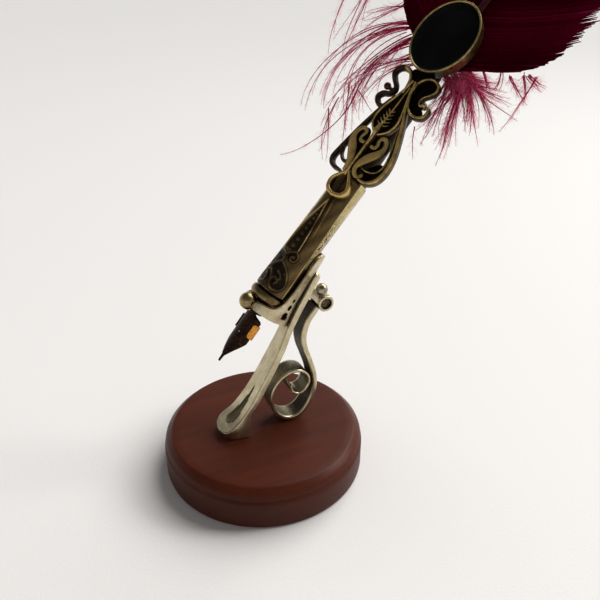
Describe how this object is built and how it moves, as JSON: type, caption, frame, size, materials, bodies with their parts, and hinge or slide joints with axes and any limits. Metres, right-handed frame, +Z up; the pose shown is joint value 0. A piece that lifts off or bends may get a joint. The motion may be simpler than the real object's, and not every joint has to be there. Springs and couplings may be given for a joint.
{
  "type": "feather dip pen with desk stand",
  "caption": "Cast bronze dip pen with filigree, an oval black stone and a burgundy feather, leaning in a nickel cradle on a round wooden base",
  "frame": {"origin": "centre of the felt's underside, where the base stands on the desk", "axes": "+Z up; the pen leans in the XZ plane, with its nib towards -X and its feather up towards +X; -Y is the side the oval stone's face leans to"},
  "size_m": [0.2175, 0.1066, 0.2747],
  "materials": {
    "wood": "satin varnished mahogany-stained hardwood",
    "felt": "thin felt",
    "nickel": "worn, softly polished nickel silver",
    "bronze": "antiqued cast bronze, dark in the recesses",
    "dark_metal": "dark bronze-plated steel",
    "amber_brass": "bright amber brass",
    "steel": "zinc-plated screw",
    "onyx": "polished black stone, opaque",
    "quill": "dyed quill",
    "vane": "burgundy feather vane",
    "down": "magenta down"
  },
  "bodies": {
    "stand": {"base_disc": "wood", "felt_pad": "felt", "leg_bar": "nickel", "cradle": "nickel", "scroll_strap": "nickel", "scroll_tube": "nickel", "scroll_bead": "nickel", "leg_screw": "steel", "scroll_screw": "steel"},
    "pen": {"bezel_cup": "bronze", "bud": "bronze", "core_tube": "bronze", "crest_left": "bronze", "crest_right": "bronze", "down_left": "down", "down_right": "down", "feather_ferrule": "bronze", "feather_shaft": "quill", "front_ring": "bronze", "grip_shell": "bronze", "leaf_left": "bronze", "leaf_right": "bronze", "loop_left": "bronze", "loop_right": "bronze", "neck_ball": "bronze", "nib_socket": "dark_metal", "onyx_stone": "onyx", "stem_rib": "bronze", "teardrop_collar": "bronze", "vane_left": "vane", "vane_right": "vane"},
    "nib": {"nib": "dark_metal", "nib_reservoir": "amber_brass"}
  },
  "joints": [
    {"name": "pen_lift", "type": "slide", "parent": "stand", "child": "pen", "axis": [-0.7524, 0, 0.6587], "range_m": [0, 0.09]},
    {"name": "nib_pull", "type": "slide", "parent": "pen", "child": "nib", "axis": [-0.6587, 0, -0.7524], "range_m": [0, 0.018]}
  ]
}
